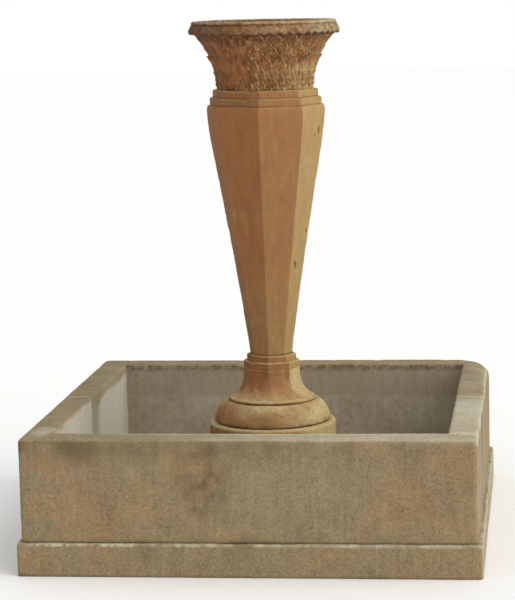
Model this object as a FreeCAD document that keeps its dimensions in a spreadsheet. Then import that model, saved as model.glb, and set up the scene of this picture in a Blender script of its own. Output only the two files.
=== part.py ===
"""Garden fountain: a square stone basin with a tapering octagonal column.

Millimetres. The origin is the middle of the basin on the ground, +Z is up and
the front of the basin faces -Y. Each sub-part is one document object, driven
by the named sizes in the Sizes sheet, and is written to its own STEP file.
"""
import os
import re
from math import atan2, cos, pi, sin

import FreeCAD, Part
import Sketcher

V = FreeCAD.Vector

SIZES = [
    ("basin_side", "1220", "outside of the basin wall, square in plan"),
    ("wall_top", "372", "ground to the top of the wall"),
    ("wall_thickness", "80", "basin wall"),
    ("wall_rounding", "7", "rounded top edges of the wall"),
    ("corner_rounding", "9", "rounded upright corners of the wall and base course"),
    ("worn_corner", "30", "radius of the worn top corner at the back right"),
    ("worn_depth", "45", "how far in from the back the worn corner reaches"),
    ("plinth_height", "91", "base course round the foot of the wall"),
    ("plinth_projection", "11", "base course beyond the wall face"),
    ("plinth_rounding", "4", "rounded top edge of the base course"),
    ("floor_thickness", "60", "basin floor slab"),
    ("drum_radius", "182", "round drum the column stands on"),
    ("drum_top", "305", "ground to the top of the drum"),
    ("drum_rounding", "7", "rounded top edge of the drum"),
    ("torus_radius", "167", "widest radius of the torus"),
    ("torus_top_radius", "130", "where the torus meets the fillet"),
    ("torus_top", "366", "ground to the top of the torus"),
    ("fillet_radius", "126.5", "thin round fillet over the torus"),
    ("fillet_top", "373", "ground to the top of the fillet"),
    ("bell_top_radius", "83", "top of the flared base"),
    ("bell_straight", "440", "ground to the start of the flare"),
    ("bell_top", "460", "ground to the top of the flared base"),
    ("lower_collar_radius", "81.5", "lower octagonal collar, across corners"),
    ("lower_collar_top", "481", "ground to the top of the lower collar"),
    ("upper_collar_radius", "71.5", "upper octagonal collar, across corners"),
    ("upper_collar_top", "499", "ground to the top of the upper collar"),
    ("collar_rounding", "3", "rounded top edges of the collars"),
    ("shaft_foot_radius", "61.5", "shaft at its foot, across corners"),
    ("shaft_low_radius", "81.5", "shaft at a fifth of its height"),
    ("shaft_mid_radius", "104.3", "shaft at two fifths of its height"),
    ("shaft_top_radius", "169.5", "shaft at its widest, across corners"),
    ("shaft_shoulder_radius", "165.5", "shaft at its top edge"),
    ("shaft_shoulder_height", "20", "rounded shoulder under the top edge"),
    ("shaft_top", "1214", "ground to the top of the shaft"),
    ("lower_step_radius", "160", "lower neck step, across corners"),
    ("upper_step_radius", "151", "upper neck step, across corners"),
    ("neck_step_height", "22", "each neck step"),
    ("neck_rounding", "4", "rounded top edges of the neck steps"),
    ("bell_core_radius", "132.5", "foot of the capital inside its leaves"),
    ("bell_core_flare", "63", "how far the capital flares out"),
    ("capital_height", "156", "capital from the neck to the rim"),
    ("leaf_thickness", "2", "one layer of leaves on the capital"),
    ("leaf_count", "24", "leaves round the capital in each tier"),
    ("lower_tips", "44", "neck to the tips of the lower leaves"),
    ("middle_tips", "92", "neck to the tips of the middle leaves"),
    ("upper_tips", "146", "neck to the tips of the upper leaves"),
    ("leaf_notch", "26", "depth of the gap between two leaf tips"),
    ("rim_radius", "214.5", "widest radius of the capital rim"),
    ("rim_top_radius", "203", "outer radius of the rim's flat top"),
    ("rim_height", "36", "rim from its underside to its top"),
    ("rim_face_height", "11", "upright part of the rim's edge"),
    ("rim_inner_radius", "176", "inside of the rim, round the top dish"),
    ("tip_height", "7", "scalloped leaf tips under the rim"),
    ("tip_scallop", "9", "radius of each scallop"),
    ("dish_thickness", "14", "floor of the top dish"),
    ("dish_hollow", "8", "how far the dish floor dips in the middle"),
    ("pipe_radius", "14", "water outlet, outside"),
    ("pipe_bore", "11", "water outlet, inside"),
    ("pipe_rise", "18", "water outlet above the dish floor's edge"),
    ("pipe_depth", "60", "water outlet below the dish"),
]

doc = FreeCAD.newDocument("Fountain")
sheet = doc.addObject("Spreadsheet::Sheet", "Sizes")
for row, (name, value, note) in enumerate(SIZES, 1):
    sheet.set("A%d" % row, name)
    sheet.set("B%d" % row, value)
    sheet.set("C%d" % row, note)
    sheet.setAlias("B%d" % row, name)
doc.recompute()
PARTS = []


def linked(text):
    """Expression with each bare size name pointed at the sheet."""
    names = "|".join(name for name, value, note in SIZES)
    return re.sub(r"(?<![\w.])(%s)(?!\w)" % names, r"Sizes.\1", text)


def size(text):
    """Number of an expression made of named sizes, for a sketch's first shape."""
    probe = doc.addObject("App::FeaturePython", "Probe")
    probe.addProperty("App::PropertyFloat", "Value")
    numbers = {"Sizes." + name: repr(float(value)) for name, value, note in SIZES}
    probe.setExpression("Value", re.sub(r"Sizes\.\w+", lambda found: numbers[found.group()], linked(text)))
    doc.recompute()
    value = probe.Value
    doc.removeObject(probe.Name)
    return value


def new_body(label, lift=None):
    """Empty body for one sub-part, raised to its place by an expression."""
    body = doc.addObject("PartDesign::Body", label)
    body.Label = label
    if lift:
        body.setExpression("Placement.Base.z", linked(lift))
    PARTS.append(body)
    return body


def plane_of(body, role):
    return [f for f in body.Origin.OriginFeatures if f.Role == role][0]


def new_sketch(body, role, lift=None):
    """Sketch attached to one of the body's own origin planes."""
    sketch = body.newObject("Sketcher::SketchObject", body.Name + "Sketch")
    sketch.AttachmentSupport = [(plane_of(body, role), "")]
    sketch.MapMode = "FlatFace"
    if lift:
        sketch.setExpression("AttachmentOffset.Base.z", linked(lift))
    return sketch


def drive(sketch, constraint, text):
    """Add a constraint and bind its value to an expression."""
    index = sketch.addConstraint(constraint)
    sketch.setExpression("Constraints[%d]" % index, linked(text))


def pin_point(sketch, geo, end, across, up):
    """Hold a point at (across, up) from the sketch's origin."""
    drive(sketch, Sketcher.Constraint("DistanceX", -1, 1, geo, end, size(across)), across)
    drive(sketch, Sketcher.Constraint("DistanceY", -1, 1, geo, end, size(up)), up)


def slab(label, wide, deep, tall, west, south, low):
    """Rectangular block with its low south-west corner at the given place."""
    body = new_body(label, low)
    body.setExpression("Placement.Base.x", linked(west))
    body.setExpression("Placement.Base.y", linked(south))
    sketch = new_sketch(body, "XY_Plane")
    w, d = size(wide), size(deep)
    corners = [V(0, 0, 0), V(w, 0, 0), V(w, d, 0), V(0, d, 0)]
    for i in range(4):
        sketch.addGeometry(Part.LineSegment(corners[i], corners[(i + 1) % 4]))
    for i in range(4):
        sketch.addConstraint(Sketcher.Constraint("Coincident", i, 2, (i + 1) % 4, 1))
        kind = "Horizontal" if i % 2 == 0 else "Vertical"
        sketch.addConstraint(Sketcher.Constraint(kind, i))
    sketch.addConstraint(Sketcher.Constraint("Coincident", 0, 1, -1, 1))
    drive(sketch, Sketcher.Constraint("DistanceX", 0, 1, 0, 2, w), wide)
    drive(sketch, Sketcher.Constraint("DistanceY", 1, 1, 1, 2, d), deep)
    pad = body.newObject("PartDesign::Pad", label + "Pad")
    pad.Profile = sketch
    pad.setExpression("Length", linked(tall))
    doc.recompute()
    return body


def round_edges(body, radius, test, kind="Fillet"):
    """Round or bevel the edges of the body that pass the test."""
    base = body.Tip
    whole = base.Shape.BoundBox
    names = ["Edge%d" % (i + 1) for i, e in enumerate(base.Shape.Edges) if test(e.BoundBox, whole)]
    feature = body.newObject("PartDesign::" + kind, body.Name + kind)
    feature.Base = (base, names)
    feature.setExpression("Radius" if kind == "Fillet" else "Size", linked(radius))
    doc.recompute()
    return feature


def half_ring(label, out, inside, facing, tall, low):
    """Half of a square ring, U-shaped in plan and open along the X axis; facing
    is -1 for the half on the front side and 1 for the one at the back."""
    body = new_body(label, low)
    sketch = new_sketch(body, "XY_Plane")
    far, near = ("-", "-") if facing < 0 else ("", "")
    plan = [("-" + out, "0"), ("-" + out, far + out), (out, far + out), (out, "0"),
            (inside, "0"), (inside, near + inside), ("-" + inside, near + inside), ("-" + inside, "0")]
    points = [V(size(x), size(y), 0) for x, y in plan]
    for i in range(8):
        sketch.addGeometry(Part.LineSegment(points[i], points[(i + 1) % 8]))
    for i in range(8):
        sketch.addConstraint(Sketcher.Constraint("Coincident", i, 2, (i + 1) % 8, 1))
    for i, (x, y) in enumerate(plan):
        pin_point(sketch, i, 1, x, y)
    pad = body.newObject("PartDesign::Pad", label + "Pad")
    pad.Profile = sketch
    pad.setExpression("Length", linked(tall))
    doc.recompute()
    return body


def at_top(e, b):
    return e.ZMin > b.ZMax - 0.01


def outer_corner(e, b):
    """The two upright edges at the outer corners of a half ring."""
    upright = e.XLength < 0.01 and e.YLength < 0.01
    at_side = e.XMin < b.XMin + 0.01 or e.XMax > b.XMax - 0.01
    away = abs(e.YMin) > 0.9 * max(abs(b.YMin), abs(b.YMax))
    return upright and at_side and away


def long_top(e, b):
    """Every top edge but those across the joint between the halves."""
    return at_top(e, b) and abs(e.YMin) + abs(e.YMax) > 0.01


def outer_top(e, b):
    """The top edges round the outside of a half ring."""
    on_side = e.XMax < b.XMin + 0.01 or e.XMin > b.XMax - 0.01
    far = max(abs(b.YMin), abs(b.YMax)) - 0.01
    on_face = min(abs(e.YMin), abs(e.YMax)) > far
    curved = e.XLength > 0.01 and e.YLength > 0.01
    return long_top(e, b) and (on_side or on_face or curved)


def arc_between(a, b, radius, side):
    """Arc from a to b that bulges to the right of the way there (side 1) or to
    the left (side -1), and which of its ends lie at a and at b."""
    chord = b - a
    half = chord.Length / 2
    across = V(chord.y, -chord.x, 0).normalize() * side
    centre = (a + b) * 0.5 - across * (radius * radius - half * half) ** 0.5
    turn = [atan2(p.y - centre.y, p.x - centre.x) for p in (a, b)]
    circle = Part.Circle(centre, V(0, 0, 1), radius)
    if side > 0:
        return Part.ArcOfCircle(circle, turn[0], turn[1] + (2 * pi if turn[1] < turn[0] else 0)), (1, 2)
    return Part.ArcOfCircle(circle, turn[1], turn[0] + (2 * pi if turn[0] < turn[1] else 0)), (2, 1)


def turned(label, outline, lift=None):
    """Solid of revolution. Each outline entry is (radius, height, arc, bulge):
    the point, then the radius of the arc that leads to the next point, if any,
    and +1 or -1 for the side the arc bulges to, seen from below upwards."""
    body = new_body(label, lift)
    sketch = new_sketch(body, "XZ_Plane")
    points = [V(size(r), size(z), 0) for r, z, arc, side in outline]
    count = len(points)
    ends = []
    for i in range(count):
        a, b = points[i], points[(i + 1) % count]
        arc, side = outline[i][2], outline[i][3]
        if arc:
            curve, order = arc_between(a, b, size(arc), side)
            sketch.addGeometry(curve)
            ends.append(order)
        else:
            sketch.addGeometry(Part.LineSegment(a, b))
            ends.append((1, 2))
    for i in range(count):
        j = (i + 1) % count
        sketch.addConstraint(Sketcher.Constraint("Coincident", i, ends[i][1], j, ends[j][0]))
    for i, (r, z, arc, side) in enumerate(outline):
        pin_point(sketch, i, ends[i][0], r, z)
        if arc:
            drive(sketch, Sketcher.Constraint("Radius", i, size(arc)), arc)
    turn = body.newObject("PartDesign::Revolution", label + "Turn")
    turn.Profile = sketch
    turn.ReferenceAxis = (sketch, ["V_Axis"])
    turn.Angle = 360
    doc.recompute()
    return body


def octagon(body, across_corners, lift=None):
    """Octagon with a corner on each axis, held by the circle through its corners."""
    sketch = new_sketch(body, "XY_Plane", lift)
    r = size(across_corners)
    corners = [V(r * cos(pi / 4 * i), r * sin(pi / 4 * i), 0) for i in range(8)]
    for i in range(8):
        sketch.addGeometry(Part.LineSegment(corners[i], corners[(i + 1) % 8]))
    ring = sketch.addGeometry(Part.Circle(V(0, 0, 0), V(0, 0, 1), r), True)
    sketch.addConstraint(Sketcher.Constraint("Coincident", ring, 3, -1, 1))
    for i in range(8):
        sketch.addConstraint(Sketcher.Constraint("Coincident", i, 2, (i + 1) % 8, 1))
    for i in range(8):
        sketch.addConstraint(Sketcher.Constraint("PointOnObject", i, 1, ring))
    for i in range(7):
        sketch.addConstraint(Sketcher.Constraint("Equal", i, i + 1))
    sketch.addConstraint(Sketcher.Constraint("PointOnObject", 0, 1, -1))
    drive(sketch, Sketcher.Constraint("Radius", ring, r), across_corners)
    return sketch


def octagonal_plate(label, across_corners, low, tall, rounding):
    """Flat octagonal plate with rounded top edges."""
    body = new_body(label, low)
    pad = body.newObject("PartDesign::Pad", label + "Pad")
    pad.Profile = octagon(body, across_corners)
    pad.setExpression("Length", linked(tall))
    doc.recompute()
    round_edges(body, rounding, at_top)
    return body


# The basin: a floor slab inside a low plinth course, and the pool wall on the
# course. Course and wall are each cast as a front and a back half, U-shaped in
# plan, that meet halfway along both sides.
INNER_SIDE = "(basin_side - 2 * wall_thickness)"
slab("basin_floor", INNER_SIDE, INNER_SIDE, "floor_thickness",
     "-%s / 2" % INNER_SIDE, "-%s / 2" % INNER_SIDE, "0")

WALL_OUT = "(basin_side / 2)"
WALL_IN = "(basin_side / 2 - wall_thickness)"
PLINTH_OUT = "(basin_side / 2 + plinth_projection)"
for end, facing in (("front", -1), ("back", 1)):
    course = half_ring("plinth_%s_half" % end, PLINTH_OUT, WALL_IN, facing, "plinth_height", "0")
    round_edges(course, "corner_rounding", outer_corner)
    round_edges(course, "plinth_rounding", outer_top)
    wall = half_ring("basin_%s_half" % end, WALL_OUT, WALL_IN, facing,
                     "wall_top - plinth_height", "plinth_height")
    round_edges(wall, "corner_rounding", outer_corner)
    round_edges(wall, "wall_rounding", long_top)


def wear_corner(wall):
    """Round the back right end of the wall's top off, as years of wear have."""
    sketch = new_sketch(wall, "XZ_Plane", "-" + WALL_OUT)
    radius = size("worn_corner")
    side, top = size(WALL_OUT), size("wall_top - plinth_height")
    centre = V(side - radius, top - radius, 0)
    sketch.addGeometry(Part.ArcOfCircle(Part.Circle(centre, V(0, 0, 1), radius), 0, pi / 2))
    outside = [V(side - radius, top, 0), V(side - radius, top + 5, 0), V(side + 5, top + 5, 0),
               V(side + 5, top - radius, 0), V(side, top - radius, 0)]
    for a, b in zip(outside, outside[1:]):
        sketch.addGeometry(Part.LineSegment(a, b))
    sketch.addConstraint(Sketcher.Constraint("Coincident", 0, 2, 1, 1))
    for i in range(1, 4):
        sketch.addConstraint(Sketcher.Constraint("Coincident", i, 2, i + 1, 1))
    sketch.addConstraint(Sketcher.Constraint("Coincident", 4, 2, 0, 1))
    for i, direction in enumerate(("Vertical", "Horizontal", "Vertical", "Horizontal"), 1):
        sketch.addConstraint(Sketcher.Constraint(direction, i))
    pin_point(sketch, 1, 1, WALL_OUT + " - worn_corner", "wall_top - plinth_height")
    pin_point(sketch, 4, 2, WALL_OUT, "wall_top - plinth_height - worn_corner")
    pin_point(sketch, 2, 2, WALL_OUT + " + 5", "wall_top - plinth_height + 5")
    drive(sketch, Sketcher.Constraint("Radius", 0, radius), "worn_corner")
    doc.recompute()
    chip = wall.newObject("PartDesign::Pocket", "WornCorner")
    chip.Profile = sketch
    chip.Reversed = True
    chip.setExpression("Length", linked("worn_depth"))
    doc.recompute()


wear_corner(wall)

# The foot of the column, turned about the Z axis.
drum = turned("column_drum", [
    ("0", "floor_thickness", None, 0), ("drum_radius", "floor_thickness", None, 0),
    ("drum_radius", "drum_top", None, 0), ("0", "drum_top", None, 0)])
round_edges(drum, "drum_rounding", at_top)

TORUS_RISE = "(torus_top - drum_top)"
TORUS_RUN = "(torus_radius - torus_top_radius)"
turned("base_torus", [
    ("0", "drum_top", None, 0),
    ("torus_radius", "drum_top",
     "({0} * {0} + {1} * {1}) / (2 * {1})".format(TORUS_RISE, TORUS_RUN), 1),
    ("torus_top_radius", "torus_top", None, 0), ("0", "torus_top", None, 0)])

turned("base_fillet", [
    ("0", "torus_top", None, 0), ("fillet_radius", "torus_top", None, 0),
    ("fillet_radius", "fillet_top", None, 0), ("0", "fillet_top", None, 0)])

FLARE_RISE = "(bell_straight - fillet_top)"
FLARE_RUN = "(fillet_radius - 1 - bell_top_radius)"
turned("base_bell", [
    ("0", "fillet_top", None, 0),
    ("fillet_radius - 1", "fillet_top",
     "({0} * {0} + {1} * {1}) / (2 * {1})".format(FLARE_RISE, FLARE_RUN), -1),
    ("bell_top_radius", "bell_straight", None, 0),
    ("bell_top_radius", "bell_top", None, 0), ("0", "bell_top", None, 0)])

# Two octagonal collars, the tapering shaft and the two neck steps over it.
octagonal_plate("lower_collar", "lower_collar_radius", "bell_top",
                "lower_collar_top - bell_top", "collar_rounding")
octagonal_plate("upper_collar", "upper_collar_radius", "lower_collar_top",
                "upper_collar_top - lower_collar_top", "collar_rounding")

SHAFT_TALL = "(shaft_top - upper_collar_top)"
shaft = new_body("shaft", "upper_collar_top")
levels = [
    ("0", "shaft_foot_radius"),
    ("0.21 * " + SHAFT_TALL, "shaft_low_radius"),
    ("0.413 * " + SHAFT_TALL, "shaft_mid_radius"),
    (SHAFT_TALL + " - 2 * shaft_shoulder_height", "shaft_top_radius - 1"),
    (SHAFT_TALL + " - shaft_shoulder_height", "shaft_top_radius"),
    (SHAFT_TALL + " - shaft_shoulder_height / 4", "shaft_top_radius - 1"),
    (SHAFT_TALL, "shaft_shoulder_radius"),
]
rings = [octagon(shaft, radius, lift) for lift, radius in levels]
taper = shaft.newObject("PartDesign::AdditiveLoft", "ShaftTaper")
taper.Profile = rings[0]
taper.Sections = rings[1:]
taper.Ruled = True
doc.recompute()

octagonal_plate("lower_neck_step", "lower_step_radius", "shaft_top", "neck_step_height", "neck_rounding")
octagonal_plate("upper_neck_step", "upper_step_radius", "shaft_top + neck_step_height",
                "neck_step_height", "neck_rounding")

# The capital: a flared core, three tiers of pointed leaves lying over each
# other on it, and a rim with a scalloped underside round a shallow dish.
NECK_TOP = "shaft_top + 2 * neck_step_height"
FLARE_ARC = "((capital_height * capital_height + bell_core_flare * bell_core_flare) / (2 * bell_core_flare))"
core = turned("capital_core", [
    ("0", "0", None, 0), ("bell_core_radius", "0", FLARE_ARC, -1),
    ("bell_core_radius + bell_core_flare", "capital_height", None, 0),
    ("0", "capital_height", None, 0)], NECK_TOP)
bore = new_sketch(core, "XY_Plane", "capital_height")
bore.addGeometry(Part.Circle(V(0, 0, 0), V(0, 0, 1), size("pipe_radius")))
bore.addConstraint(Sketcher.Constraint("Coincident", 0, 3, -1, 1))
drive(bore, Sketcher.Constraint("Radius", 0, size("pipe_radius")), "pipe_radius")
doc.recompute()
hole = core.newObject("PartDesign::Pocket", "PipeHole")
hole.Profile = bore
hole.setExpression("Length", linked("pipe_depth"))
doc.recompute()


def polar(body, feature, count):
    """Repeat a feature round the Z axis."""
    pattern = body.newObject("PartDesign::PolarPattern", body.Name + "Pattern")
    pattern.Originals = [feature]
    pattern.Axis = (plane_of(body, "Z_Axis"), [""])
    pattern.Angle = 360
    pattern.setExpression("Occurrences", linked(count))
    body.Tip = pattern
    doc.recompute()
    return pattern


def leaf_tier(label, layer, tips):
    """One layer of leaves on the core, cut to points between the tips."""
    reach = "(bell_core_radius + {0})".format(FLARE_ARC)
    inner = "({0} - {1} * leaf_thickness)".format(FLARE_ARC, layer)
    outer = "({0} - {1} * leaf_thickness)".format(FLARE_ARC, layer + 1)

    def on(arc, up):
        return "({0} - sqrt({1} * {1} - {2} * {2}))".format(reach, arc, up)

    body = turned(label, [
        (on(inner, "0"), "0", None, 0), (on(outer, "0"), "0", outer, -1),
        (on(outer, tips), tips, None, 0), (on(inner, tips), tips, inner, 1)], NECK_TOP)
    notch = new_sketch(body, "XZ_Plane")
    half = "(1.05 * 180 / leaf_count * bell_core_radius * 3.1416 / 180 * (1 + {0} / 500))".format(tips)
    w, top, low = size(half), size(tips + " + 1"), size(tips + " - leaf_notch")
    corners = [V(-w, top, 0), V(0, low, 0), V(w, top, 0)]
    for i in range(3):
        notch.addGeometry(Part.LineSegment(corners[i], corners[(i + 1) % 3]))
    for i in range(3):
        notch.addConstraint(Sketcher.Constraint("Coincident", i, 2, (i + 1) % 3, 1))
    pin_point(notch, 0, 1, "-" + half, tips + " + 1")
    pin_point(notch, 1, 1, "0", tips + " - leaf_notch")
    pin_point(notch, 2, 1, half, tips + " + 1")
    doc.recompute()
    cut = body.newObject("PartDesign::Pocket", label + "Notch")
    cut.Profile = notch
    cut.Type = "ThroughAll"
    doc.recompute()
    polar(body, cut, "leaf_count")
    return body


leaf_tier("upper_leaf_tier", 0, "upper_tips")
leaf_tier("middle_leaf_tier", 1, "middle_tips")
leaf_tier("lower_leaf_tier", 2, "lower_tips")

RIM_FOOT = NECK_TOP + " + capital_height"
turned("capital_rim", [
    ("rim_inner_radius", "0", None, 0), ("rim_radius - 3", "0", None, 0),
    ("rim_radius", "rim_face_height / 2", None, 0), ("rim_radius - 1", "rim_face_height", None, 0),
    ("rim_top_radius + 2", "rim_height - 4", None, 0), ("rim_top_radius - 3", "rim_height", None, 0),
    ("rim_inner_radius + 6", "rim_height", None, 0), ("rim_inner_radius", "rim_height - 6", None, 0)],
    RIM_FOOT)

RIM_SEAT = "bell_core_radius + bell_core_flare"
tips = turned("rim_leaf_tips", [
    (RIM_SEAT, "-tip_height", None, 0), ("rim_radius - 9", "-tip_height", None, 0),
    ("rim_radius - 4", "0", None, 0), (RIM_SEAT, "0", None, 0)], RIM_FOOT)
scallop = new_sketch(tips, "XY_Plane", "-tip_height")
scallop.addGeometry(Part.Circle(V(size("rim_radius"), 0, 0), V(0, 0, 1), size("tip_scallop")))
scallop.addConstraint(Sketcher.Constraint("PointOnObject", 0, 3, -1))
drive(scallop, Sketcher.Constraint("DistanceX", -1, 1, 0, 3, size("rim_radius")), "rim_radius")
drive(scallop, Sketcher.Constraint("Radius", 0, size("tip_scallop")), "tip_scallop")
doc.recompute()
bite = tips.newObject("PartDesign::Pocket", "ScallopCut")
bite.Profile = scallop
bite.Type = "ThroughAll"
bite.Reversed = True
doc.recompute()
polar(tips, bite, "leaf_count")

turned("top_dish", [
    ("pipe_radius", "0", None, 0), ("rim_inner_radius", "0", None, 0),
    ("rim_inner_radius", "dish_thickness", None, 0),
    ("pipe_radius", "dish_thickness - dish_hollow", None, 0)], RIM_FOOT)

turned("outlet_pipe", [
    ("pipe_bore", "-pipe_depth", None, 0), ("pipe_radius", "-pipe_depth", None, 0),
    ("pipe_radius", "dish_thickness + pipe_rise", None, 0),
    ("pipe_bore", "dish_thickness + pipe_rise", None, 0)], RIM_FOOT)

doc.recompute()
for item in doc.Objects:
    if "Invalid" in item.State or "Error" in item.State:
        raise RuntimeError("%s is %s" % (item.Label, item.State))
os.makedirs("parts", exist_ok=True)
for part in PARTS:
    shape = part.Shape
    if shape.isNull() or not shape.isValid():
        raise RuntimeError(part.Label + " has no valid shape")
    shape.exportStep(os.path.join("parts", part.Label + ".step"))
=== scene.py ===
from math import atan2, cos, pi, radians, sin

import bpy
import numpy as np
from mathutils import Matrix, Vector


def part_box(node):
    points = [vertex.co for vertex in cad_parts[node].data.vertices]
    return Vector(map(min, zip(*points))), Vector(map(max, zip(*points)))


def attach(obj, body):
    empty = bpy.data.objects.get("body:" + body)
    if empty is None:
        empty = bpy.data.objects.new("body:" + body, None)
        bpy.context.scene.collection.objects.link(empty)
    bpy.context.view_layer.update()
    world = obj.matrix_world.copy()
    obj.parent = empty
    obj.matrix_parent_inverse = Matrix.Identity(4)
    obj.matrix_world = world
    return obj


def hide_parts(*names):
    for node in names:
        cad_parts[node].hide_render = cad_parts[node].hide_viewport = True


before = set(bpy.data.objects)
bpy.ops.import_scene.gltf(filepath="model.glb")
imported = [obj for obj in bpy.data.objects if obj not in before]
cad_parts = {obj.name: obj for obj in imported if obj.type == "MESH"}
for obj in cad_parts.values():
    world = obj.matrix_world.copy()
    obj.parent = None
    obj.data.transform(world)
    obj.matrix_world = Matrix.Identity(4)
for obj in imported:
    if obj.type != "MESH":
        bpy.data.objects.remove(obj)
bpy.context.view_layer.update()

# ---------------------------------------------------------------------------
# The studio: a pale floor under the fountain, one broad soft light from the
# right front, an even pale sky, and a camera a little above the top of the
# column, standing to the right of the basin's middle.
scene = bpy.context.scene
scene.view_settings.view_transform = "Standard"

camera_place = (0.7881, -6.3394, 1.5834)
turned_left, tipped_down, leaning = 0.1051, 0.1452, -0.0207  # radians
camera = bpy.data.objects.new("camera", bpy.data.cameras.new("camera"))
camera.data.sensor_width = 36
camera.data.lens = 134.84
camera.data.shift_x = -0.09
camera.data.clip_end = 60
camera.matrix_world = (Matrix.Translation(camera_place) @ Matrix.Rotation(turned_left, 4, "Z")
                       @ Matrix.Rotation(pi / 2 - tipped_down, 4, "X") @ Matrix.Rotation(leaning, 4, "Z"))
scene.collection.objects.link(camera)
scene.camera = camera

key = bpy.data.objects.new("key_light", bpy.data.lights.new("key_light", "SUN"))
key.data.energy, key.data.angle, key.data.color = 1.95, radians(70), (1.0, 0.965, 0.90)
key.rotation_euler = Vector((-4.6, 1.6, -3.2)).to_track_quat("-Z", "Y").to_euler()
scene.collection.objects.link(key)

world = bpy.data.worlds.new("sky")
scene.world = world
world.use_nodes = True
sky = world.node_tree
sky.nodes.clear()


def sky_light(color, strength):
    """Even light of one colour from all round."""
    node = sky.nodes.new("ShaderNodeBackground")
    node.inputs["Color"].default_value = (*color, 1)
    node.inputs["Strength"].default_value = strength
    return node.outputs[0]


ambient, backdrop = sky_light((0.98, 0.99, 1.0), 0.70), sky_light((1, 1, 1), 1.0)
path = sky.nodes.new("ShaderNodeLightPath")
either = sky.nodes.new("ShaderNodeMixShader")
out = sky.nodes.new("ShaderNodeOutputWorld")
sky.links.new(path.outputs["Is Camera Ray"], either.inputs[0])
sky.links.new(ambient, either.inputs[1])
sky.links.new(backdrop, either.inputs[2])
sky.links.new(either.outputs[0], out.inputs[0])

floor_mesh = bpy.data.meshes.new("studio_floor")
floor_mesh.from_pydata([(-30, -30, 0), (30, -30, 0), (30, 30, 0), (-30, 30, 0)], [], [(0, 1, 2, 3)])
studio_floor = bpy.data.objects.new("studio_floor", floor_mesh)
scene.collection.objects.link(studio_floor)
floor_paint = bpy.data.materials.new("studio_floor")
floor_paint.use_nodes = True
floor_shader = floor_paint.node_tree.nodes["Principled BSDF"]
floor_shader.inputs["Base Color"].default_value = (0.975, 0.975, 0.972, 1)
floor_shader.inputs["Roughness"].default_value = 0.9
floor_mesh.materials.append(floor_paint)

# ---------------------------------------------------------------------------
# The pool wall: two U-shaped castings of sandy stone that meet halfway along
# the sides, on a low plinth course cast the same way. Edges are rounded by
# wear and chipped, and lime has bleached the rim and the inside.


def rough(points, span, seed):
    """Smooth noise from -1 to 1 at each point, with bumps about span metres across."""
    where = points / span + seed * 17.31
    cell = np.floor(where).astype(np.int64)
    part = where - cell
    part = part * part * (3 - 2 * part)
    total = np.zeros(len(points))
    for corner in range(8):
        step = np.array([corner & 1, corner >> 1 & 1, corner >> 2])
        mixed = (cell + step) @ np.array([73856093, 19349663, 83492791])
        mixed = ((mixed ^ (mixed >> 13)) * 1274126177) & 0x7FFFFFFF
        mixed = ((mixed ^ (mixed >> 15)) * 668265263) & 0x7FFFFFFF
        value = ((mixed >> 8) & 0xFFFF) / 32767.5 - 1
        total += value * np.prod(np.where(step == 1, part, 1 - part), axis=1)
    return total


def stretched(points, level, upright, span, seed):
    """Noise drawn out along an axis: a factor below 1 makes its bumps longer that way."""
    return rough(points * np.array([level, level, upright]), span, seed)


def smooth(x, low, high):
    """0 below low, 1 above high, and an S-curve between."""
    t = np.clip((x - low) / (high - low), 0, 1)
    return t * t * (3 - 2 * t)


def grid_quads(rows, cols, wrap_rows=False, wrap_cols=False):
    """Quads of a grid of points numbered row by row."""
    r = np.arange(rows if wrap_rows else rows - 1)[:, None]
    c = np.arange(cols if wrap_cols else cols - 1)[None, :]
    r2, c2 = (r + 1) % rows, (c + 1) % cols
    quads = np.stack([r * cols + c, r2 * cols + c, r2 * cols + c2, r * cols + c2], axis=-1)
    return quads.reshape(-1, 4)


def enclosed(points, quads):
    """Six times the volume inside the quads; below zero when they are inside out."""
    a, b, c, d = (points[quads[:, k]] for k in range(4))
    return (np.einsum("ij,ij->i", a, np.cross(b, c)) + np.einsum("ij,ij->i", a, np.cross(c, d))).sum()


def skin_normals(points, quads):
    """Outward direction at each point."""
    a, b, c, d = (points[quads[:, k]] for k in range(4))
    out = np.cross(c - a, d - b)
    total = np.zeros_like(points)
    for k in range(4):
        np.add.at(total, quads[:, k], out)
    return total / np.maximum(np.linalg.norm(total, axis=1, keepdims=True), 1e-12)


def ring_skin(rows, loop=False):
    """Points and outward quads of stacked rings; in a loop the last ring joins the first."""
    count, around = rows.shape[:2]
    points = rows.reshape(-1, 3)
    quads = grid_quads(count, around, wrap_rows=loop, wrap_cols=True)
    return points, quads if enclosed(points, quads) >= 0 else quads[:, ::-1]


def runs_along(quads, a, b):
    """Whether the quad on the edge between points a and b goes from a to b."""
    quad = next(q for q in quads.tolist() if a in q and b in q)
    return quad[(quad.index(a) + 1) % 4] == b


def capped(quads, around):
    """Faces of a tube of quads, closed by a flat face at each end."""
    total = int(quads.max()) + 1
    first, last = list(range(around)), list(range(total - around, total))
    forward = runs_along(quads, 0, 1)
    return quads.tolist() + [first[::-1] if forward else first, last if forward else last[::-1]]


def make_piece(name, points, faces, tone, material, slot, *nodes):
    """Smooth-shaded mesh with its tone painted on, standing for the given CAD nodes."""
    mesh = bpy.data.meshes.new(name)
    mesh.from_pydata(points.tolist(), [], faces)
    mesh.polygons.foreach_set("use_smooth", [True] * len(mesh.polygons))
    paint = mesh.attributes.new("tone", "FLOAT_COLOR", "POINT")
    rgba = np.zeros((len(points), 4))
    rgba[:, :tone.shape[1]] = np.clip(tone, 0, 1)
    paint.data.foreach_set("color", rgba.ravel())
    mesh.materials.append(material)
    piece = bpy.data.objects.new(name, mesh)
    scene.collection.objects.link(piece)
    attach(piece, "root")
    if nodes:
        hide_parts(*nodes)
    return piece


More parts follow.
